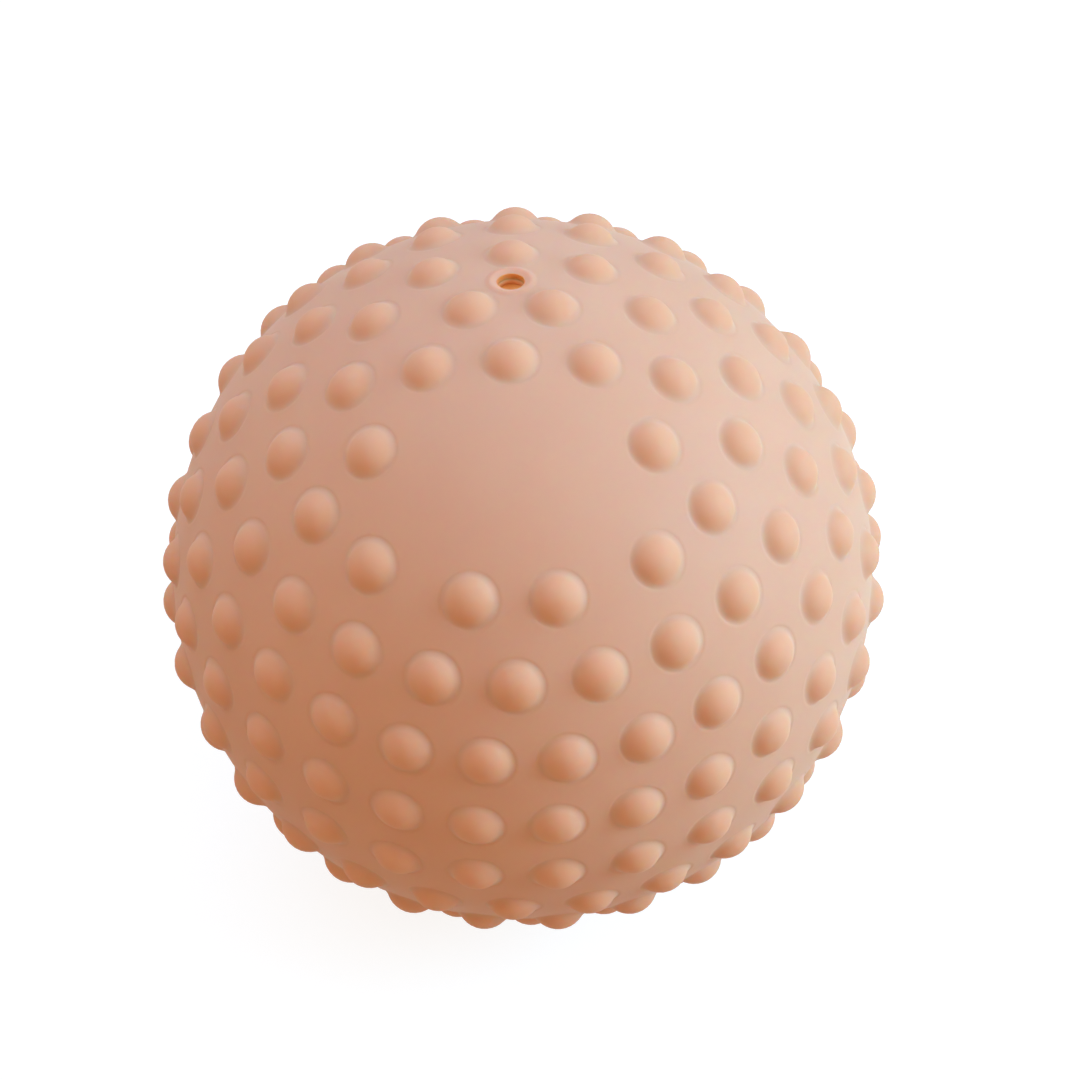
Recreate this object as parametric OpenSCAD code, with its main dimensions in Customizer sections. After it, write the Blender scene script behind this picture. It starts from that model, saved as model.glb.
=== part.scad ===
// A hollow sensory ball of soft moulded vinyl. Rows of hollow domed nubs circle it like lines of
// latitude, one round patch is left bare, and a self-sealing valve sits near the top pole.
// The origin is the centre of the ball. +Z is the pole that the rows circle, and the bare patch
// leans from it towards the front, which is -Y. The valve leans the other way.

/* [Ball] */
// Width of the ball over two opposite nubs
ball_d = 200; // [170:1:260]
// Thickness of the moulded skin
wall_t = 2; // [1.5:0.1:2.8]

/* [Nubs] */
// Steps between the rows from one pole to the other
row_steps = 14; // [10:2:14]
// Width of a nub where it meets the skin
nub_d = 14; // [10:0.1:15.6]
// Height of a nub above the skin
nub_h = 3.5; // [2.4:0.1:4]

/* [Bare patch] */
// Tilt of the bare patch from the pole, in degrees
patch_tilt = 22.6; // [21:0.1:24]
// Width of the circle in which no nub has its centre
patch_d = 50; // [46:1:54]

/* [Valve mouth] */
// Tilt of the valve from the pole, in degrees
valve_tilt = 17.6; // [17:0.1:18.5]
// Width of the round mouth
mouth_d = 7; // [5:0.1:8]
// Reach of the raised rim around the mouth
rim_w = 3.3; // [2.4:0.1:4]
// Height of the low dome that the rim is cut from
rim_h = 1; // [0.6:0.1:1.4]
// Width of the funnel that leads into the mouth
lead_w = 1.9; // [1.5:0.1:2.1]
// Depth of that funnel
lead_t = 0.6; // [0.3:0.1:0.8]

/* [Valve body] */
// Length of the neck between the skin and the bung
neck_l = 1.5; // [0.8:0.1:3]
// Width of the shoulder that keeps the bung from coming out
shoulder_w = 0.9; // [0.6:0.1:1.4]
// Thickness of the cup's wall
cup_t = 1.6; // [1:0.1:2.2]
// Reach of the flange beyond the cup
flange_w = 1.3; // [0.8:0.1:2]
// Thickness of the flange under the skin
flange_t = 1.6; // [1:0.1:2.5]
// Thickness of the lip at the cup's inner end
lip_t = 1.2; // [0.8:0.1:2]
// Reach of that lip under the bung
lip_w = 2.2; // [1.5:0.1:3]

/* [Valve bung] */
// Length of the bung
bung_l = 9; // [7:0.1:12]
// Depth of the grooves between the bung's sealing rings
groove_t = 0.5; // [0.3:0.1:0.8]
// Width of each groove
groove_w = 1.2; // [0.8:0.1:1.6]
// Width of the dimple that guides a needle
dimple_d = 2.6; // [1.6:0.1:3.6]
// Depth of the dimple
dimple_t = 1.6; // [1:0.1:2.4]

/* [Hidden] */

vinyl = "#D69C7C";
vinyl_inside = "#C98A66";
gum_rubber = "#BE7B45";

ball_fn = 180;
dome_fn = 40;
valve_fn = 64;
// How far a cut runs past the faces that it opens
overrun = 1;

// The skin between the nubs
skin_r = ball_d / 2 - nub_h;
cavity_r = skin_r - wall_t;

// The rows are the same number of degrees apart
row_pitch = 180 / row_steps;
// How far each row is turned from the front, as a share of the step between its nubs
turn_shares = [0, 0.5, 0, 0.5, 0, 0.6, 0.44, 0.4, 0.82, 0.39, 0, 0.5, 0, 0.5, 0];
// The row below the bare patch has one nub less, and its front pair stands apart by this extra share
parted_share = 0.25;
parted_row = ceil((patch_tilt + half_angle(patch_d / 2, skin_r)) / row_pitch);

// The valve's places along its own axis, measured from the centre of the ball
rim_r = mouth_d / 2 + rim_w;
rim_top = skin_r + rim_h;
bung_r = mouth_d / 2 + shoulder_w;
bung_top = cavity_r - neck_l;
bung_end = bung_top - bung_l;
cup_r = bung_r + cup_t;
cup_end = bung_end - lip_t;
flange_r = cup_r + flange_w;
groove_count = 3;
groove_step = bung_l / (groove_count + 1);

// Half the angle that a chord covers on a circle
function half_angle(half_chord, radius) = asin(half_chord / radius);

// Distance from a ball's centre to a flat circle drawn on it
function chord_height(half_chord, radius) = sqrt(radius * radius - half_chord * half_chord);

// Radius of the ball whose cap is a dome of this foot and height, standing on the skin
function dome_radius(foot_r, height) =
    let (rise = skin_r + height - chord_height(foot_r, skin_r))
    (foot_r * foot_r + rise * rise) / (2 * rise);

// Direction with this tilt from the pole, turned from the front
function direction(tilt, turn) = [sin(tilt) * sin(turn), -sin(tilt) * cos(turn), cos(tilt)];

// Nubs in a row: the even number that comes nearest to the spacing of the rows
function row_count(row) =
    max(1, 2 * round(row_steps * sin(row * row_pitch)) - (row == parted_row ? 1 : 0));

// Turn of one nub in an ordinary row
function even_turn(row, i) =
    (i + turn_shares[row % len(turn_shares)]) * 360 / row_count(row);

// Turn of one nub in the parted row: two at the front, then the rest spread over what is left
function parted_turn(row, i) =
    let (step = 360 / row_count(row))
    let (side = step * (1.5 + parted_share))
    i < 2 ? (i - 0.5) * step : side + (i - 2) * (360 - 2 * side) / (row_count(row) - 3);

function nub_turn(row, i) = row == parted_row ? parted_turn(row, i) : even_turn(row, i);

// A nub is left out where its centre would lie in the bare patch, or its foot over the valve's mouth
patch_dir = direction(patch_tilt, 0);
valve_dir = direction(valve_tilt, 180);
function in_patch(dir) = dir * patch_dir > cos(half_angle(patch_d / 2, skin_r));
function on_mouth(dir) = dir * valve_dir > cos(half_angle((nub_d + mouth_d) / 2, skin_r));

// Every nub's place, as a tilt from the pole and a turn from the front
nub_places = [
    for (row = [0:row_steps])
        for (i = [0:row_count(row) - 1])
            let (tilt = row * row_pitch, turn = nub_turn(row, i), dir = direction(tilt, turn))
                if (!in_patch(dir) && !on_mouth(dir)) [tilt, turn]
];

nub_ball_r = dome_radius(nub_d / 2, nub_h);
nub_ball_at = skin_r + nub_h - nub_ball_r;
rim_ball_r = dome_radius(rim_r, rim_h);
rim_ball_at = rim_top - rim_ball_r;

// The rim's crest is where the funnel meets its dome
crest_top = rim_ball_at + chord_height(mouth_d / 2 + lead_w, rim_ball_r);
funnel_end = crest_top - lead_t;

// Turns what stands along +Z to lie along a nub's direction
module leaning(tilt, turn) {
    rotate([0, 0, turn])
        rotate([tilt, 0, 0])
            children();
}

// One ball under every nub: the dome is the cap of it that stands out of the skin
module nub_balls(radius) {
    for (place = nub_places)
        leaning(place[0], place[1])
            translate([0, 0, nub_ball_at])
                sphere(r = radius, $fn = dome_fn);
}

// Turns the valve's parts from +Z to its place behind the pole
module at_valve() {
    leaning(valve_tilt, 180)
        children();
}

// The mouth through the skin, which widens into a funnel and stays within the rim
module mouth_cut() {
    rotate_extrude($fn = valve_fn)
        polygon([
            [0, cavity_r - overrun],
            [mouth_d / 2, cavity_r - overrun],
            [mouth_d / 2, funnel_end],
            [rim_r, funnel_end + lead_t * rim_w / lead_w],
            [rim_r, rim_top + 2 * overrun],
            [0, rim_top + 2 * overrun]
        ]);
}

// The skin: one hollow moulding of even thickness, so that each nub is hollow too
module ball_skin() {
    color(vinyl)
        difference() {
            union() {
                sphere(r = skin_r, $fn = ball_fn);
                nub_balls(nub_ball_r);
                at_valve()
                    translate([0, 0, rim_ball_at])
                        sphere(r = rim_ball_r, $fn = ball_fn);
            }
            union() {
                sphere(r = cavity_r, $fn = ball_fn);
                nub_balls(nub_ball_r - wall_t);
            }
            at_valve()
                mouth_cut();
        }
}

// The seat for the bung: a flange bonded under the skin, a neck, and a cup that hangs inside the ball
module valve_body() {
    color(vinyl_inside)
        at_valve()
            rotate_extrude($fn = valve_fn)
                intersection() {
                    circle(r = cavity_r, $fn = ball_fn);
                    difference() {
                        union() {
                            translate([0, cup_end])
                                square([cup_r, skin_r - cup_end]);
                            translate([0, chord_height(flange_r, cavity_r) - flange_t])
                                square([flange_r, skin_r]);
                        }
                        translate([0, cup_end - overrun])
                            square([bung_r - lip_w, skin_r]);
                        translate([0, bung_end])
                            square([bung_r, bung_l]);
                        translate([0, bung_top - overrun])
                            square([mouth_d / 2, skin_r]);
                    }
                }
}

// The self-sealing bung: a plug of gum rubber with sealing rings and a dimple that guides a needle
module valve_bung() {
    color(gum_rubber)
        at_valve()
            difference() {
                translate([0, 0, bung_end])
                    cylinder(r = bung_r, h = bung_l, $fn = valve_fn);
                for (i = [1:groove_count])
                    translate([0, 0, bung_end + i * groove_step - groove_w / 2])
                        difference() {
                            cylinder(r = bung_r + overrun, h = groove_w, $fn = valve_fn);
                            cylinder(r = bung_r - groove_t, h = groove_w, $fn = valve_fn);
                        }
                translate([0, 0, bung_top - dimple_t])
                    scale(1 + overrun / dimple_t)
                        cylinder(r1 = 0, r2 = dimple_d / 2, h = dimple_t, $fn = valve_fn);
            }
}

ball_skin();
valve_body();
valve_bung();
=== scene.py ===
# %% [markdown]
# This is a soft sensory ball: one hollow moulding of soft vinyl, about 200 mm across, with rows of
# hollow nubs that a baby's hand can grip, one bare patch, and a small valve through which it is
# blown up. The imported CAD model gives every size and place. This script dresses it: it loads the
# frame, sets up a camera and a soft studio, and then makes each piece with its finish.

# %% Load the frame
import math

import bmesh
import bpy
import numpy as np
from mathutils import Matrix, Vector
from mathutils.geometry import delaunay_2d_cdt


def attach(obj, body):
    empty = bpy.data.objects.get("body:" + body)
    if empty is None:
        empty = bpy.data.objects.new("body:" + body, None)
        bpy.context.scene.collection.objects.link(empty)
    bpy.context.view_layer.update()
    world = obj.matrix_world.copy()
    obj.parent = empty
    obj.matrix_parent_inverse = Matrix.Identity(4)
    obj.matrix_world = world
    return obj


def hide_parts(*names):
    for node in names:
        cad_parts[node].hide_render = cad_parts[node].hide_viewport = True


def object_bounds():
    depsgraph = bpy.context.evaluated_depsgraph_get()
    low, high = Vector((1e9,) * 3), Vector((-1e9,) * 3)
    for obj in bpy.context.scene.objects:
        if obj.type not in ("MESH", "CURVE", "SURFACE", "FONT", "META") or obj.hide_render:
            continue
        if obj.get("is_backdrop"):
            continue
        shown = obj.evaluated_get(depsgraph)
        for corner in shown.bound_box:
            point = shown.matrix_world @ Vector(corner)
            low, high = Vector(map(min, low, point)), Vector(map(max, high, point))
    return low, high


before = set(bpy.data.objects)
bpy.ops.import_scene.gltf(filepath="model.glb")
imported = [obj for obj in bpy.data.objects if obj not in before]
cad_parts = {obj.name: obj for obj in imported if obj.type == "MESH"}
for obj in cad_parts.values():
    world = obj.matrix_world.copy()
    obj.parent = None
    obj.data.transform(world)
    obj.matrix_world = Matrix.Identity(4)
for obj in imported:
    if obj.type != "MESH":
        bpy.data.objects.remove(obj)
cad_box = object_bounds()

MM = 0.001
print("the CAD box in mm:", [round(side / MM, 1) for side in cad_box[1] - cad_box[0]])

# %% [markdown]
# The camera stands about ten of the ball's own radii away with a long lens, which keeps the
# ball's outline nearly a true circle. The pole that the rows circle leans towards the camera, so
# the camera stands high up in front of the ball. It could be placed by hand. Three angles say the
# same thing in a way that is easy to change: its height, its turn from the front, and its roll.

# %% The camera's place
ball_r = (cad_box[1] - cad_box[0]).z / 2
nub_h = 3.5 * MM
skin_r = ball_r - nub_h

camera_away = 10 * skin_r
camera_elevation = math.radians(56.5)
camera_turn = math.radians(2.7)
camera_roll = math.radians(3.5)

back = Vector((
    math.sin(camera_turn) * math.cos(camera_elevation),
    -math.cos(camera_turn) * math.cos(camera_elevation),
    math.sin(camera_elevation),
))
level = back.to_track_quat("Z", "Y").to_matrix()
turned = level @ Matrix.Rotation(-camera_roll, 3, "Z")
print("camera at, in m:", [round(v, 3) for v in back * camera_away])

# %% The camera's lens and aim
picture = 1080
# Where the skin's circle sits in the picture, in pixels
ball_across, ball_down, ball_pixels = 523.2, 568.7, 349.5

camera_data = bpy.data.cameras.new("camera")
camera = bpy.data.objects.new("camera", camera_data)
bpy.context.scene.collection.objects.link(camera)
bpy.context.scene.camera = camera
camera_data.sensor_width = 36
focal_pixels = ball_pixels * math.sqrt((camera_away / skin_r) ** 2 - 1)
camera_data.lens = focal_pixels / picture * camera_data.sensor_width

# The ball sits a little left of the picture's centre and below it, so the camera looks past it
aim_right = math.atan((picture / 2 - ball_across) / focal_pixels)
aim_up = math.atan((ball_down - picture / 2) / focal_pixels)
aimed = turned @ Matrix.Rotation(-aim_right, 3, "Y") @ Matrix.Rotation(aim_up, 3, "X")
camera.matrix_world = Matrix.Translation(back * camera_away) @ aimed.to_4x4()
print("lens in mm:", round(camera_data.lens, 1))

# %% [markdown]
# Colours are written as the hex values that a paint program shows, so one function turns them
# into the linear values that Blender mixes light with. Nodes could be added and linked one call
# at a time. One function that does both keeps every node tree below short enough to read.


# %% Helpers for colours and nodes
def paint(hex_colour):
    """A hex colour as linear red, green, blue and alpha."""
    values = [int(hex_colour[i:i + 2], 16) / 255 for i in (1, 3, 5)]
    return [v / 12.92 if v <= 0.04045 else ((v + 0.055) / 1.055) ** 2.4 for v in values] + [1]


def add_node(tree, kind, inputs=None, **settings):
    """Adds a node, sets its settings, and fills or links its inputs by name or number."""
    made = tree.nodes.new(kind)
    for name, value in settings.items():
        setattr(made, name, value)
    for name, value in (inputs or {}).items():
        if isinstance(value, bpy.types.NodeSocket):
            tree.links.new(value, made.inputs[name])
        else:
            made.inputs[name].default_value = value
    return made


def new_material(name):
    """An empty material and its node tree, with the output node ready."""
    material = bpy.data.materials.new(name)
    material.use_nodes = True
    material.node_tree.nodes.clear()
    output = add_node(material.node_tree, "ShaderNodeOutputMaterial")
    return material, material.node_tree, output


print("mid grey in linear light:", round(paint("#808080")[0], 3))

# %% [markdown]
# Soft vinyl has no hard highlight, so the studio is soft. A cool softbox on the right, a little
# above the ball, gives every nub a lit side and a shaded side. A weaker one above and slightly to
# the left and a bluer one behind keep the top and the back from going dull. One lamp could do,
# but then the left side would be lost, so the room gives a warm light of its own as well, which
# warms the shade.

# %% Softboxes
softbox_away = 0.8


def softbox(name, direction, size, watts, colour):
    """A square area light that looks at the ball from a direction."""
    data = bpy.data.lights.new(name, "AREA")
    data.size = size
    data.energy = watts
    data.color = paint(colour)[:3]
    lamp = bpy.data.objects.new(name, data)
    towards = Vector(direction).normalized()
    lamp.location = towards * softbox_away
    lamp.rotation_euler = towards.to_track_quat("Z", "Y").to_euler()
    bpy.context.scene.collection.objects.link(lamp)
    print(name, "side in m:", size, "watts:", watts)


softbox("key_softbox", (0.85, -0.08, 0.45), 0.5, 9.1, "#9CDAF6")
softbox("top_softbox", (-0.36, 0.15, 0.92), 0.8, 3.5, "#98D6FF")
softbox("back_softbox", (-0.15, 0.80, 0.58), 0.8, 2.8, "#60C4FF")

# %% [markdown]
# The picture's background is pure white, but a white room would bleach the ball. So the Light
# Path node splits the two: the camera, and a reflection or a view through glass, see white, and
# the ball is lit by a warm room and stands on a warm pale board, which keeps its underside deep in
# colour. The shown floor is a part of plain paint, which takes the ball's shadow, and a part of
# glow, which lifts it to white. Further out it fades into the room, so no horizon is seen.

# %% The room
room_light = 0.77
white = paint("#FFFFFF")


def seen_share(tree):
    """1 for a ray from the camera, a reflection or a view through glass, and 0 for the rest."""
    rays = add_node(tree, "ShaderNodeLightPath").outputs
    direct = add_node(tree, "ShaderNodeMath", {
        0: rays["Is Camera Ray"], 1: rays["Is Glossy Ray"]}, operation="MAXIMUM")
    return add_node(tree, "ShaderNodeMath", {
        0: direct.outputs[0], 1: rays["Is Transmission Ray"]}, operation="MAXIMUM").outputs[0]


world = bpy.data.worlds.new("studio_room")
bpy.context.scene.world = world
world.use_nodes = True
room = world.node_tree
room.nodes.clear()
lit = add_node(room, "ShaderNodeBackground", {"Color": paint("#FFD28E"), "Strength": room_light})
seen = add_node(room, "ShaderNodeBackground", {"Color": white, "Strength": 1.0})
room_mix = add_node(room, "ShaderNodeMixShader", {
    0: seen_share(room), 1: lit.outputs[0], 2: seen.outputs[0]})
add_node(room, "ShaderNodeOutputWorld", {"Surface": room_mix.outputs[0]})
bpy.context.scene.view_settings.view_transform = "Standard"
print("room light:", room_light)

# %% The floor
floor_side = 6.0
floor_z = cad_box[0].z
floor_glow = 0.82
fade_start, fade_end = 0.25, 0.7

half_floor = floor_side / 2
corners = [(x * half_floor, y * half_floor, floor_z) for x, y in ((-1, -1), (1, -1), (1, 1), (-1, 1))]
floor_mesh = bpy.data.meshes.new("floor")
floor_mesh.from_pydata(corners, [], [(0, 1, 2, 3)])
floor = bpy.data.objects.new("floor", floor_mesh)
bpy.context.scene.collection.objects.link(floor)

# Painted board: a warm pale grey to the ball, and white to the camera
floor_board, tree, output = new_material("white_studio_board")
board = add_node(tree, "ShaderNodeBsdfDiffuse", {"Color": paint("#D0B8A8")})
shadowed = add_node(tree, "ShaderNodeBsdfDiffuse", {"Color": paint("#868C96")})
glow = add_node(tree, "ShaderNodeEmission", {"Color": white, "Strength": floor_glow})
near = add_node(tree, "ShaderNodeAddShader", {0: shadowed.outputs[0], 1: glow.outputs[0]})
far = add_node(tree, "ShaderNodeEmission", {"Color": white, "Strength": 1.0})
floor_spot = add_node(tree, "ShaderNodeTexCoord").outputs["Object"]
from_ball = add_node(tree, "ShaderNodeVectorMath", {0: floor_spot}, operation="LENGTH")
fade = add_node(tree, "ShaderNodeMapRange", {
    "Value": from_ball.outputs["Value"], "From Min": fade_start, "From Max": fade_end,
}, interpolation_type="SMOOTHSTEP")
shown = add_node(tree, "ShaderNodeMixShader", {0: fade.outputs[0], 1: near.outputs[0], 2: far.outputs[0]})
board_mix = add_node(tree, "ShaderNodeMixShader", {
    0: seen_share(tree), 1: board.outputs[0], 2: shown.outputs[0]})
tree.links.new(board_mix.outputs[0], output.inputs["Surface"])
floor_mesh.materials.append(floor_board)
floor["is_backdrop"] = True
print("floor at, in mm:", round(floor_z / MM, 1))

# %% [markdown]
# The nubs circle the pole in rows that are the same angle apart. Each row holds the even number
# of nubs that comes nearest to that spacing, and is turned by its own share of a step. The row
# under the bare patch has one nub less, and its two front nubs stand a little apart. The nubs
# could be listed one by one. A rule is shorter, and it is the same rule as in the CAD model, so
# every nub here stands on a nub there.

# %% The rows of nubs
row_steps = 14
row_pitch = math.pi / row_steps
turn_shares = [0, 0.5, 0, 0.5, 0, 0.6, 0.44, 0.4, 0.82, 0.39, 0, 0.5, 0, 0.5, 0]
parted_row = 3
parted_share = 0.25


def direction(tilt, turn):
    """The direction at a tilt from the pole, turned from the front."""
    return Vector((math.sin(tilt) * math.sin(turn), -math.sin(tilt) * math.cos(turn), math.cos(tilt)))


def row_turns(row):
    """The turns of the nubs in one row."""
    even_count = 2 * math.floor(row_steps * math.sin(row * row_pitch) + 0.5)
    count = max(1, even_count - (row == parted_row))
    step = math.tau / count
    if row != parted_row:
        return [(i + turn_shares[row]) * step for i in range(count)]
    side = step * (1.5 + parted_share)
    rest = (math.tau - 2 * side) / (count - 3)
    return [-step / 2, step / 2] + [side + i * rest for i in range(count - 2)]


print("nubs in each row:", [len(row_turns(row)) for row in range(row_steps + 1)])

# %% The nubs outside the bare patch
patch_axis = direction(math.radians(22.6), 0)
patch_r = 25 * MM
valve_axis = direction(math.radians(17.6), math.pi)
nub_axes = [
    axis
    for row in range(row_steps + 1)
    for axis in (direction(row * row_pitch, turn) for turn in row_turns(row))
    if axis.angle(patch_axis) > math.asin(patch_r / skin_r)
]
print("nubs:", len(nub_axes))

# %% [markdown]
# A plain sphere has its points in the wrong places: too few on a nub's edge and too many between
# the nubs. So the points are laid first, in rings round every nub and round the mouth, with a
# loose even scatter between them, and only then joined into triangles. To join points on a
# sphere, this looks at them from the middle of the mouth and draws them flat on a sheet, which
# keeps circles as circles. The flat drawing is triangulated and the triangles are carried back.


# %% Points on the ball
def across(axis):
    """Two directions that are square to an axis and to each other."""
    side = axis.orthogonal().normalized()
    return side, axis.cross(side)


def ring(axis, radius, count, sphere_r):
    """Points on the unit sphere, in a ring of this radius round an axis."""
    side, other = across(axis)
    half = math.asin(radius / sphere_r)
    return [
        axis * math.cos(half) + (side * math.cos(a) + other * math.sin(a)) * math.sin(half)
        for a in (math.tau * i / count for i in range(count))
    ]


def scatter(spacing, sphere_r):
    """Evenly spread points on the unit sphere, on one long spiral."""
    count = int(4 * math.pi * sphere_r ** 2 / (spacing ** 2 * math.sqrt(3) / 2))
    i = np.arange(count) + 0.5
    z = 1 - 2 * i / count
    turn = math.pi * (1 + math.sqrt(5)) * i
    flat = np.sqrt(1 - z * z)
    return np.column_stack([flat * np.cos(turn), flat * np.sin(turn), z])


def keep_clear(points, axes, gap):
    """The points that lie further than a gap from every axis, both on the unit sphere."""
    points = np.asarray(points)
    nearest = (points @ np.array(axes).T).max(axis=1)
    return points[nearest < math.cos(gap)]


print("points of a spiral with 10 mm between them:", len(scatter(10 * MM, skin_r)))

# %% Triangles between the points
# How far a nub's rings keep from the mouth's last ring, and, as a share of their spacing, how far
# the scattered points keep from any last ring
mouth_gap = 0.4 * MM
gap_share = 0.3
# Points nearer to each other than this on the sheet count as one
same_point = 1e-9


def pricked_sphere(name, sphere_r, nub_rings, mouth_rings, spacing):
    """A sphere that is open at the mouth, with points in rings round the nubs and the mouth."""
    nub_edge, mouth_edge = nub_rings[-1][0], mouth_rings[-1][0]
    on_nubs = [Vector(axis) for axis in nub_axes]
    for radius, count in nub_rings:
        for axis in nub_axes:
            on_nubs += ring(axis, radius, count, sphere_r)
    on_nubs = keep_clear(on_nubs, [valve_axis], (mouth_edge + mouth_gap) / sphere_r)
    between = scatter(spacing, sphere_r)
    between = keep_clear(between, nub_axes, (nub_edge + gap_share * spacing) / sphere_r)
    between = keep_clear(between, [valve_axis], (mouth_edge + gap_share * spacing) / sphere_r)
    at_mouth = [p for radius, count in mouth_rings for p in ring(valve_axis, radius, count, sphere_r)]
    points = np.vstack([np.array(at_mouth), on_nubs, between])
    looked_at = points @ np.array(valve_axis.to_track_quat("Z", "Y").to_matrix())
    sheet = looked_at[:, :2] / (1 - looked_at[:, 2:])
    found = delaunay_2d_cdt([Vector(p) for p in sheet], [], [], 0, same_point)
    source = [ids[0] for ids in found[3]]
    faces = [[source[i] for i in reversed(face)] for face in found[2]]
    mesh = bpy.data.meshes.new(name)
    mesh.from_pydata((points * sphere_r).tolist(), [], faces)
    made = bpy.data.objects.new(name, mesh)
    bpy.context.scene.collection.objects.link(made)
    print(name, "points:", len(points), "triangles:", len(faces))
    return made


# %% The outside and the inside before the nubs are raised
wall_t = 2.0 * MM
cavity_r = skin_r - wall_t
mouth_r = 3.5 * MM
mouth_points = 48


def rings_mm(*sizes):
    """Rings as radius and number of points, from radii in mm."""
    return [(radius * MM, count) for radius, count in sizes]


# The rings stand closest where the nub's foot bends and where the fine line runs round it
nub_rings_out = rings_mm(
    (1.4, 8), (2.8, 14), (4.0, 20), (5.0, 24), (5.8, 28), (6.3, 28),
    (6.9, 28), (7.5, 28), (7.8, 28), (8.1, 28), (8.6, 28), (9.2, 28))
nub_rings_in = rings_mm((1.5, 8), (3.0, 12), (4.5, 14), (6.0, 14), (7.4, 14))
mouth_rings_out = [
    (radius * MM, mouth_points)
    for radius in (3.55, 3.8, 4.2, 4.6, 5.0, 5.4, 5.8, 6.2, 6.6, 7.0, 7.4)]
outside = pricked_sphere("skin_outside", skin_r, nub_rings_out, mouth_rings_out, 3.0 * MM)
inside = pricked_sphere("skin_inside", cavity_r, nub_rings_in, [(mouth_r, mouth_points)], 6 * MM)

# %% [markdown]
# On the real mould each nub is a drilled and rounded pocket, and its edge leaves a fine line: the
# nub's foot lies a little below the skin, and the skin steps up round it with a faint lip. The
# nubs could be modelled once and copied onto the ball, but then each would meet the skin in a
# seam. A Geometry Nodes tree moves the skin itself: for every point it asks how far the nearest
# nub's axis is, and works out how high the skin is there. The same tree makes the inside.

# %% The tree's named inputs
axes_mesh = bpy.data.meshes.new("nub_axes")
axes_mesh.from_pydata([tuple(axis) for axis in nub_axes], [], [])
axes_object = bpy.data.objects.new("nub_axes", axes_mesh)
bpy.context.scene.collection.objects.link(axes_object)

relief = bpy.data.node_groups.new("raise_nubs", "GeometryNodeTree")
relief.interface.new_socket("Geometry", in_out="INPUT", socket_type="NodeSocketGeometry")
relief_inputs = {"Nub axes": "Object", "Valve axis": "Vector", "Vinyl": "Material"} | dict.fromkeys((
    "Skin radius", "Nub height", "Crown radius", "Flow radius", "Flow reach", "Foot radius",
    "Edge radius", "Edge width", "Recess depth", "Lip height", "Lip width",
    "Rim height", "Rim crest", "Rim reach", "Mouth radius", "Mouth drop"), "Float")
socket_ids = {
    name: relief.interface.new_socket(name, in_out="INPUT", socket_type="NodeSocket" + kind).identifier
    for name, kind in relief_inputs.items()
}
relief.interface.new_socket("Geometry", in_out="OUTPUT", socket_type="NodeSocketGeometry")
given = add_node(relief, "NodeGroupInput").outputs
print("named inputs:", len(socket_ids))


# %% Sums and smooth steps in the tree
def maths(operation, *values):
    """The result of a Math node in the relief tree."""
    return add_node(relief, "ShaderNodeMath", dict(enumerate(values)), operation=operation).outputs[0]


def eased(value, start, end, low, high):
    """A smooth change from one value to another between two places."""
    return add_node(relief, "ShaderNodeMapRange", {
        "Value": value, "From Min": start, "From Max": end, "To Min": low, "To Max": high,
    }, interpolation_type="SMOOTHSTEP").outputs["Result"]


place = add_node(relief, "GeometryNodeInputPosition").outputs[0]
outwards = add_node(relief, "ShaderNodeVectorMath", {0: place}, operation="NORMALIZE").outputs[0]
axes_in = add_node(relief, "GeometryNodeObjectInfo", {"Object": given["Nub axes"]}).outputs["Geometry"]
nearest_axis = add_node(relief, "GeometryNodeProximity", {
    0: axes_in, "Sample Position": outwards}, target_element="POINTS").outputs["Distance"]
away = maths("MULTIPLY", nearest_axis, given["Skin radius"])
print("nodes so far:", len(relief.nodes))

# %% A nub's two arcs
# The round crown drops away from its top
away_square = maths("POWER", away, 2.0)
crown_square = maths("SUBTRACT", maths("POWER", given["Crown radius"], 2.0), away_square)
crown_level = maths("SQRT", maths("MAXIMUM", crown_square, 0.0))
crown_drop = maths("SUBTRACT", given["Crown radius"], crown_level)
crown = maths("SUBTRACT", given["Nub height"], crown_drop)

# The hollow flow takes over from it lower down and runs out flat at the foot
inside_foot = maths("MAXIMUM", maths("SUBTRACT", given["Foot radius"], away), 0.0)
to_foot = maths("MINIMUM", inside_foot, given["Flow reach"])
flow_square = maths("SUBTRACT", maths("POWER", given["Flow radius"], 2.0), maths("POWER", to_foot, 2.0))
flow = maths("SUBTRACT", given["Flow radius"], maths("SQRT", flow_square))
nub = maths("MAXIMUM", crown, flow)
print("nodes so far:", len(relief.nodes))

# %% The fine line round a nub
edge_in = maths("SUBTRACT", given["Edge radius"], given["Edge width"])
edge_out = maths("ADD", given["Edge radius"], given["Edge width"])
dip_start = maths("SUBTRACT", edge_in, given["Lip width"])
lip_end = maths("ADD", edge_out, given["Lip width"])

# The recess inside the line, the step up to the skin, and the lip that fades away outside
dip = eased(away, dip_start, edge_in, 0.0, maths("MULTIPLY", given["Recess depth"], -1.0))
step_up = eased(away, edge_in, edge_out, dip, given["Lip height"])
lip_fade = eased(away, edge_out, lip_end, 0.0, given["Lip height"])
edge = maths("SUBTRACT", step_up, lip_fade)
print("nodes so far:", len(relief.nodes))

# %% The rim round the mouth
from_valve = add_node(relief, "ShaderNodeVectorMath", {
    0: outwards, 1: given["Valve axis"]}, operation="DISTANCE").outputs["Value"]
valve_away = maths("MULTIPLY", from_valve, given["Skin radius"])

# The rim rises from the skin to a crest and falls away into the mouth
rim_rise = eased(valve_away, given["Rim crest"], given["Rim reach"], given["Rim height"], 0.0)
rim_fall = eased(valve_away, given["Mouth radius"], given["Rim crest"], given["Mouth drop"], 0.0)
rim = maths("SUBTRACT", rim_rise, rim_fall)
print("nodes so far:", len(relief.nodes))

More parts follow.
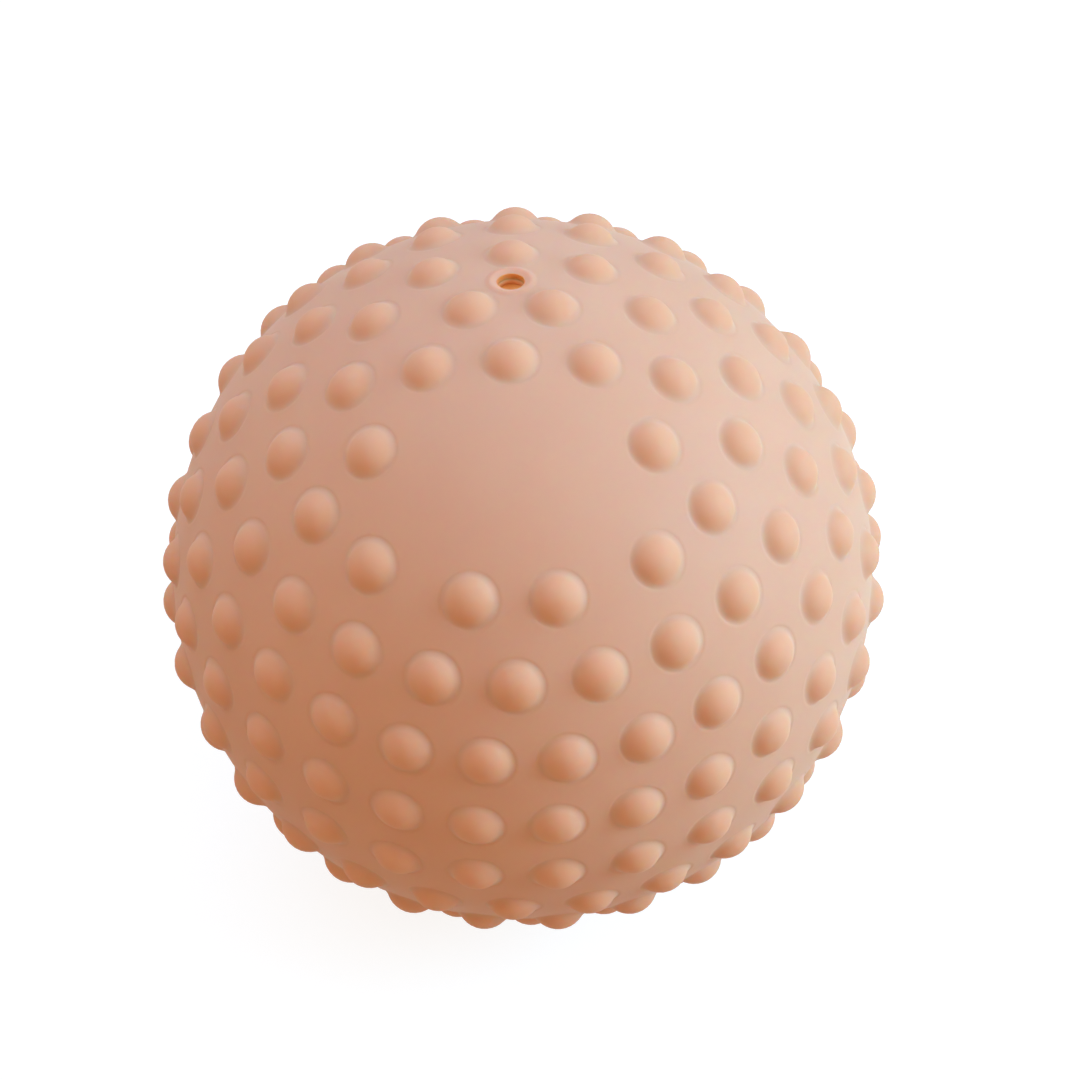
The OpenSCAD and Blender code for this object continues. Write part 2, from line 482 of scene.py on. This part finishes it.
# %% Move the skin and give it its vinyl
height = maths("ADD", given["Skin radius"], maths("ADD", maths("ADD", nub, rim), edge))
new_place = add_node(relief, "ShaderNodeVectorMath", {
    0: outwards, "Scale": height}, operation="SCALE").outputs[0]
moved = add_node(relief, "GeometryNodeSetPosition", {
    "Geometry": given["Geometry"], "Position": new_place}).outputs[0]
# How high up a nub a place is, as a share of the nub's height; the vinyl paints shade on the nubs by it
share_up = maths("DIVIDE", maths("SUBTRACT", height, given["Skin radius"]), given["Nub height"])
marked = add_node(relief, "GeometryNodeStoreNamedAttribute", {
    "Geometry": moved, "Name": "share_up", "Value": share_up,
}, data_type="FLOAT", domain="POINT").outputs[0]
smooth = add_node(relief, "GeometryNodeSetShadeSmooth", {"Geometry": marked}).outputs[0]
real = add_node(relief, "GeometryNodeRealizeInstances", {"Geometry": smooth}).outputs[0]
dressed = add_node(relief, "GeometryNodeSetMaterial", {
    "Geometry": real, "Material": given["Vinyl"]}).outputs[0]
add_node(relief, "NodeGroupOutput", {0: dressed})
print("nodes in the whole tree:", len(relief.nodes))

# %% [markdown]
# The skin is soft PVC, cast in a rotating mould from a coloured paste. It is satin, not shiny:
# the mould is blasted very finely, and the skin takes a broad soft sheen from a softbox. The
# paste is not quite opaque, so light wanders a few millimetres inside it, which warms the shaded
# side of each nub. The colour wanders a little too, where the paste pooled. The nubs are painted a
# touch more orange than the skin: that is painted shade, which stands in for the sheen that the
# smooth skin catches more than the curved nubs. A painted picture could hold all this, but noise
# that follows the ball's own space has no seams.

# %% The vinyl's colour, with painted shade on the nubs
blotch_size = 30 * MM
mouth_tone_start, mouth_tone_end = 3.6 * MM, 4.0 * MM

vinyl, tree, output = new_material("satin_soft_pvc")
spot = add_node(tree, "ShaderNodeTexCoord").outputs["Object"]
blotches = add_node(tree, "ShaderNodeTexNoise", {
    "Vector": spot, "Scale": 1 / blotch_size, "Detail": 3.0, "Roughness": 0.5}).outputs[0]
skin_tone = add_node(tree, "ShaderNodeMix", {
    0: blotches, 6: paint("#CE9984"), 7: paint("#D4A28C")}, data_type="RGBA").outputs[2]
high = add_node(tree, "ShaderNodeAttribute", attribute_name="share_up").outputs["Fac"]
# Painted shade: the nubs turn a deeper orange from their foot up, standing in for the sheen that the
# smooth skin catches more than the nubs
painted_nub_shade_mask = add_node(tree, "ShaderNodeMapRange", {"Value": high, "From Min": 0.0, "From Max": 0.4})
tone_with_painted_nub_shade = add_node(tree, "ShaderNodeMix", {
    0: painted_nub_shade_mask.outputs[0], 6: skin_tone, 7: paint("#D39C81")}, data_type="RGBA").outputs[2]

# Round the inside of the mouth the vinyl turns a deeper orange
mouth_middle = valve_axis * (skin_r - 1 * MM)
mouth_away = add_node(tree, "ShaderNodeVectorMath", {
    0: spot, 1: mouth_middle}, operation="DISTANCE").outputs["Value"]
in_mouth = add_node(tree, "ShaderNodeMapRange", {
    "Value": mouth_away, "From Min": mouth_tone_start, "From Max": mouth_tone_end,
    "To Min": 1.0, "To Max": 0.0})
vinyl_tone = add_node(tree, "ShaderNodeMix", {
    0: in_mouth.outputs[0], 6: tone_with_painted_nub_shade, 7: paint("#D88A4C")}, data_type="RGBA").outputs[2]
print("a blotch in mm:", round(blotch_size / MM, 1))

# %% The vinyl's surface
# The real grain of a blasted mould is finer than a tenth of a millimetre and wouldn't show, so it
# is drawn at half a millimetre
grain_size = 0.5 * MM
grain_depth = 0.02 * MM

grain = add_node(tree, "ShaderNodeTexNoise", {
    "Vector": spot, "Scale": 1 / grain_size, "Detail": 2.0, "Roughness": 0.5}).outputs[0]
fine = add_node(tree, "ShaderNodeBump", {"Strength": 0.25, "Distance": grain_depth, "Height": grain})
gloss = add_node(tree, "ShaderNodeMapRange", {
    "Value": blotches, "From Min": 0.3, "From Max": 0.7, "To Min": 0.6, "To Max": 0.68})
surface = add_node(tree, "ShaderNodeBsdfPrincipled", {
    "Base Color": vinyl_tone, "Roughness": gloss.outputs[0], "Normal": fine.outputs[0],
    "IOR": 1.53, "Specular IOR Level": 0.3, "Subsurface Weight": 0.8,
    "Subsurface Radius": (1.0, 0.2, 0.08), "Subsurface Scale": 5 * MM})
tree.links.new(surface.outputs[0], output.inputs["Surface"])
print(vinyl.name, "nodes:", len(tree.nodes))

# %% [markdown]
# Now the tree raises the nubs, once for the outside and once for the inside. Inside, the wall
# follows the outside at an even thickness, so every nub is hollow, and the two arcs change by
# that thickness: the crown's gets smaller and the flow's larger. There is no fine line inside,
# because only the outside lay against the mould.

# %% Raise both sides
crown_r = 7.8 * MM
slope = math.radians(48.5)
edge_r = 7.8 * MM


def nub_arcs(inset):
    """The sizes of a nub's two arcs, at a depth under the outer face of the skin."""
    flow_r = (nub_h - crown_r * (1 - math.cos(slope))) / (1 - math.cos(slope))
    return {
        "Nub height": nub_h, "Crown radius": crown_r - inset, "Flow radius": flow_r + inset,
        "Flow reach": (flow_r + inset) * math.sin(slope),
        "Foot radius": (crown_r + flow_r) * math.sin(slope)}


def raised(made, values):
    """The mesh that the tree gives for these sizes, as a new plain mesh."""
    modifier = made.modifiers.new("raise_nubs", "NODES")
    modifier.node_group = relief
    for name, value in values.items():
        modifier[socket_ids[name]] = value
    evaluated = made.evaluated_get(bpy.context.evaluated_depsgraph_get())
    mesh = bpy.data.meshes.new_from_object(evaluated)
    made.modifiers.remove(modifier)
    print(made.name, "raised, triangles:", len(mesh.polygons))
    return mesh


common = {
    "Nub axes": axes_object, "Valve axis": valve_axis, "Vinyl": vinyl, "Edge radius": edge_r,
    "Rim crest": 5.4 * MM, "Rim reach": 7.0 * MM, "Mouth radius": mouth_r}
outside_mesh = raised(outside, common | nub_arcs(0.0) | {
    "Skin radius": skin_r, "Edge width": 0.22 * MM, "Recess depth": 0.09 * MM,
    "Lip height": 0.03 * MM, "Lip width": 1.2 * MM, "Rim height": 0.4 * MM, "Mouth drop": 0.7 * MM})
inside_mesh = raised(inside, common | nub_arcs(wall_t) | {
    "Skin radius": cavity_r, "Edge width": 0.1 * MM, "Recess depth": 0.0,
    "Lip height": 0.0, "Lip width": 1.0 * MM, "Rim height": 0.0, "Mouth drop": 0.0})
for spare in (outside, inside, axes_object):
    bpy.data.objects.remove(spare)

# %% [markdown]
# Two sides aren't a wall until something joins them. The two could be bridged in edit mode. Here
# the mouth's short tube does it: rings of points are set between the edge of the outside and the
# edge of the inside, and joined with squares. Now the skin is one closed solid, as it is on the
# bench.

# %% The edges of the two sides
mouth_side, mouth_other = across(valve_axis)
# A hair less than a full turn, so that the point at the start isn't sorted to the end
full_turn = math.tau - 1e-4


def mouth_turn(vert):
    """How far round the mouth a point lies."""
    return math.atan2(vert.co.dot(mouth_other), vert.co.dot(mouth_side)) % full_turn


def valve_ring(work, turns, radius, height):
    """New points in a ring round the valve's axis, at a height along it."""
    spokes = [mouth_side * math.cos(a) + mouth_other * math.sin(a) for a in turns]
    return [work.verts.new(valve_axis * height + spoke * radius) for spoke in spokes]


def mouth_edges(work):
    """The points on the outer and on the inner edge of the mouth, each in order round it."""
    heights = {v: v.co.dot(valve_axis) for e in work.edges if e.is_boundary for v in e.verts}
    middle = (max(heights.values()) + min(heights.values())) / 2
    outer = sorted((v for v in heights if heights[v] > middle), key=mouth_turn)
    inner = sorted((v for v in heights if heights[v] <= middle), key=mouth_turn)
    return outer, inner


print("the valve's axis:", [round(v, 3) for v in valve_axis])

# %% Join the sides through the mouth
# How far the tube's rings lie below the outer edge
tube_depths = (0.12 * MM, 0.45 * MM, 1.2 * MM)


def closed_skin(outer_mesh, inner_mesh, name):
    """One closed mesh from the two sides and the mouth's tube between them."""
    work = bmesh.new()
    work.from_mesh(outer_mesh)
    outer_count = len(work.faces)
    work.from_mesh(inner_mesh)
    work.faces.ensure_lookup_table()
    # The inside was made facing outwards too, and has to face the hollow
    bmesh.ops.reverse_faces(work, faces=work.faces[outer_count:])
    outer, inner = mouth_edges(work)
    turns = [mouth_turn(v) for v in outer]
    top = sum(v.co.dot(valve_axis) for v in outer) / len(outer)
    loops = [outer, *(valve_ring(work, turns, mouth_r, top - depth) for depth in tube_depths), inner]
    for above, below in zip(loops, loops[1:]):
        for i in range(mouth_points):
            j = (i + 1) % mouth_points
            work.faces.new((above[i], below[i], below[j], above[j]))
    for face in work.faces:
        face.smooth = True
    open_edges = sum(e.is_boundary for e in work.edges)
    mesh = bpy.data.meshes.new(name)
    work.to_mesh(mesh)
    work.free()
    triangles = sum(len(p.vertices) - 2 for p in mesh.polygons)
    print(name, "triangles:", triangles, "open edges:", open_edges)
    return mesh


skin = bpy.data.objects.new("moulded_skin", closed_skin(outside_mesh, inside_mesh, "moulded_skin"))
skin.data.materials.append(vinyl)
bpy.context.scene.collection.objects.link(skin)
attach(skin, "root")
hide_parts("ball_skin")

# %% [markdown]
# Under the mouth a seat of soft vinyl is bonded to the skin, and in its cup sits the bung: a
# plug of soft gum rubber with sealing rings. A needle goes through a slit that closes behind it.
# Both could be cut from cylinders, but both are round about one axis, so each is drawn as half a
# cross-section and turned, with its corners rounded as moulded corners are.

# %% Rounded corners
bend_steps = 3


def rounded(outline):
    """The outline with each marked corner made a short arc. A point is radius, height and bend."""
    result = []
    for i, (radius, level, bend) in enumerate(outline):
        here = Vector((radius, level))
        if bend == 0:
            result.append(tuple(here))
            continue
        before = Vector(outline[i - 1][:2])
        after = Vector(outline[(i + 1) % len(outline)][:2])
        start = here + (before - here).normalized() * bend
        end = here + (after - here).normalized() * bend
        for t in (k / bend_steps for k in range(bend_steps + 1)):
            result.append(tuple(start * (1 - t) ** 2 + here * 2 * t * (1 - t) + end * t * t))
    return result


print("points of a rounded square:", len(rounded([(0, 0, 1), (9, 0, 1), (9, 9, 1), (0, 9, 1)])))

# %% Turned pieces
segments = 72
on_axis = 1e-6


def turned_piece(name, outline, material):
    """A closed solid turned about the valve's axis from an outline of radius and height, in mm."""
    work = bmesh.new()
    turns = [math.tau * i / segments for i in range(segments)]
    rows = [
        valve_ring(work, turns, radius * MM, level * MM) if radius > on_axis
        else [work.verts.new(valve_axis * level * MM)] * segments
        for radius, level in rounded(outline)]
    starts_on_axis = rows[0][0] is rows[0][1]
    for lower, upper in zip(rows, rows[1:] if starts_on_axis else rows[1:] + rows[:1]):
        for i in range(segments):
            j = (i + 1) % segments
            corners = list(dict.fromkeys((lower[i], lower[j], upper[j], upper[i])))
            if len(corners) > 2:
                work.faces.new(corners).smooth = True
    bmesh.ops.recalc_face_normals(work, faces=work.faces[:])
    mesh = bpy.data.meshes.new(name)
    work.to_mesh(mesh)
    work.free()
    mesh.materials.append(material)
    made = bpy.data.objects.new(name, mesh)
    bpy.context.scene.collection.objects.link(made)
    print(name, "faces:", len(mesh.polygons))
    return made


# %% [markdown]
# Both materials are soft and a little cloudy, and only a few millimetres of them show at the
# bottom of the mouth, where the photograph shows a dark orange. The seat is soft vinyl and the
# bung is gum rubber. Their recipes differ only in numbers, so one function mixes both.


# %% Clouded materials
def clouded(name, cloud_size, detail, tones, finish):
    """A material whose colour drifts between two tones in clouds of this size."""
    material, tree, output = new_material(name)
    spot = add_node(tree, "ShaderNodeTexCoord").outputs["Object"]
    cloud = add_node(tree, "ShaderNodeTexNoise", {
        "Vector": spot, "Scale": 1 / cloud_size, "Detail": detail})
    tone = add_node(tree, "ShaderNodeMix", {
        0: cloud.outputs[0], 6: paint(tones[0]), 7: paint(tones[1])}, data_type="RGBA")
    surface = add_node(tree, "ShaderNodeBsdfPrincipled", {"Base Color": tone.outputs[2], **finish})
    tree.links.new(surface.outputs[0], output.inputs["Surface"])
    print(name, "nodes:", len(tree.nodes))
    return material


# Moulded soft PVC: more orange than the skin, a little smoother, and only faintly clear
seat_vinyl = clouded("seat_soft_pvc", 3 * MM, 2.0, ("#E08C50", "#E49860"), {
    "Roughness": 0.55, "IOR": 1.53, "Subsurface Weight": 0.15,
    "Subsurface Radius": (1.0, 0.45, 0.25), "Subsurface Scale": 2 * MM})
# Moulded gum rubber: dull, and a little clearer than the seat, so that its edges look soft
gum = clouded("gum_rubber", 2 * MM, 3.0, ("#E08C40", "#E89A50"), {
    "Roughness": 0.6, "IOR": 1.52, "Subsurface Weight": 0.3,
    "Subsurface Radius": (1.0, 0.5, 0.2), "Subsurface Scale": 2 * MM})

# %% [markdown]
# The seat is a flange under the skin, a neck that continues the mouth, and a cup that holds the
# bung. It is drawn in millimetres, in heights along the valve's axis from the ball's centre. Its
# upper face follows the inside of the skin, and its sizes are those of the CAD model.

# %% The valve's seat
cavity = cavity_r / MM
mouth = mouth_r / MM
bung_r, cup_r, flange_r, lip_hole_r = 4.4, 6.0, 7.3, 2.2
neck_l, bung_l, lip_t, flange_t = 1.5, 9, 1.2, 1.6
bung_top = cavity - neck_l
bung_end = bung_top - bung_l
cup_end = bung_end - lip_t


def under_skin(radius):
    """The height of the inside of the skin, this far from the valve's axis."""
    return math.sqrt(cavity ** 2 - radius ** 2)


flange_top = under_skin(flange_r)
flange_end = flange_top - flange_t
halfway_r = 5.2
seat = turned_piece("valve_seat", [
    (lip_hole_r, cup_end, 0.2), (cup_r, cup_end, 0.4), (cup_r, flange_end, 0.3),
    (flange_r, flange_end, 0.3), (flange_r, flange_top, 0), (halfway_r, under_skin(halfway_r), 0),
    (mouth, under_skin(mouth), 0), (mouth, bung_top, 0.1), (bung_r, bung_top, 0),
    (bung_r, bung_end, 0), (lip_hole_r, bung_end, 0.2)], seat_vinyl)
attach(seat, "root")
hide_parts("valve_body")

# %% [markdown]
# The bung fills the cup. Grooves cut its side into rings that seal against the cup, and a dimple
# in its top guides the needle to the slit. The slit is closed, so nothing of it is drawn.

# %% The bung
groove_count = 3
groove_t, groove_w = 0.5, 1.2
groove_bend = 0.12
dimple_r, dimple_t = 1.5, 1.6
dimple_end_r, dimple_slope_t = 0.35, 1.3

groove_step = bung_l / (groove_count + 1)
bung_side = []
for k in range(groove_count):
    level = bung_end + groove_step * (k + 1)
    low, high = level - groove_w / 2, level + groove_w / 2
    bung_side += [
        (bung_r, low, groove_bend), (bung_r - groove_t, low, groove_bend),
        (bung_r - groove_t, high, groove_bend), (bung_r, high, groove_bend)]
bung = turned_piece("needle_bung", [
    (0, bung_end, 0), (bung_r, bung_end, 0.3), *bung_side, (bung_r, bung_top, 0.2),
    (dimple_r, bung_top, 0.25), (dimple_end_r, bung_top - dimple_slope_t, 0.2),
    (0, bung_top - dimple_t, 0)], gum)
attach(bung, "root")
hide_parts("valve_bung")

# %% [markdown]
# A finish should not change the ball's size. So the last cell prints the dressed box, which can be set
# beside the CAD model's box that is printed at the start.

# %% Sizes and finish
low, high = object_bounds()
print("the dressed box in mm:", [round(side / MM, 1) for side in high - low])
